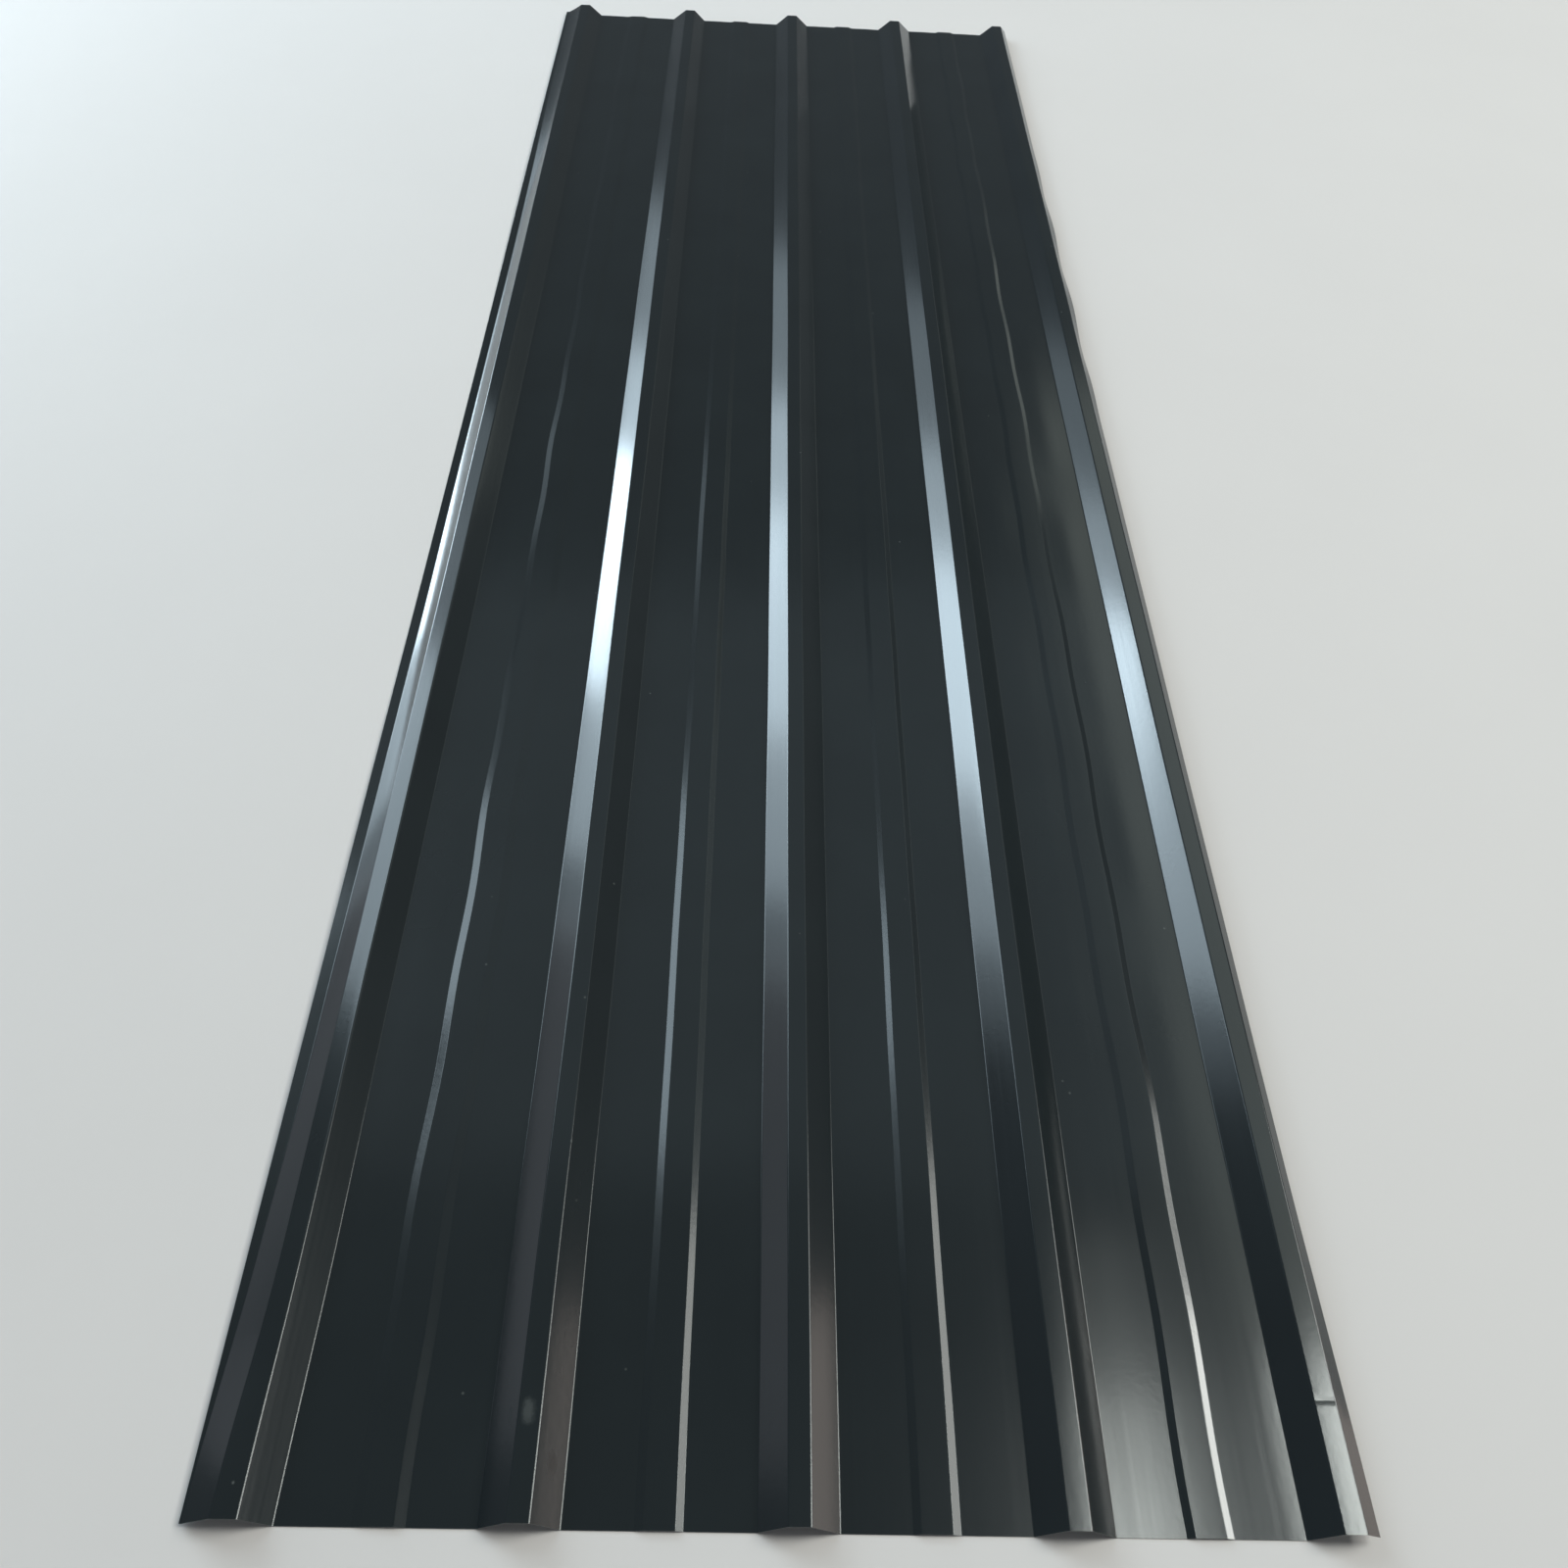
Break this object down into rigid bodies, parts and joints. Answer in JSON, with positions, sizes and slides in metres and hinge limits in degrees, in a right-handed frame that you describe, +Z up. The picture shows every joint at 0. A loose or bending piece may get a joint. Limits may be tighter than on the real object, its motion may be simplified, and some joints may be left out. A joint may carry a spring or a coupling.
{
  "type": "ribbed metal roofing sheet",
  "caption": "Long thin coated steel roofing sheet, roll-formed with trapezoid ribs along its length, flat pans with a low swage between them and lap legs at both long edges.",
  "frame": {"origin": "on the floor under the middle of the sheet", "axes": "+X across the ribs towards the overlap edge, +Y along the ribs, +Z up, out of the weather face"},
  "size_m": [0.9779, 3.048, 0.021],
  "materials": {
    "coated_steel": "gloss"
  },
  "bodies": {
    "root": {"roofing_sheet": "coated_steel"}
  },
  "joints": []
}
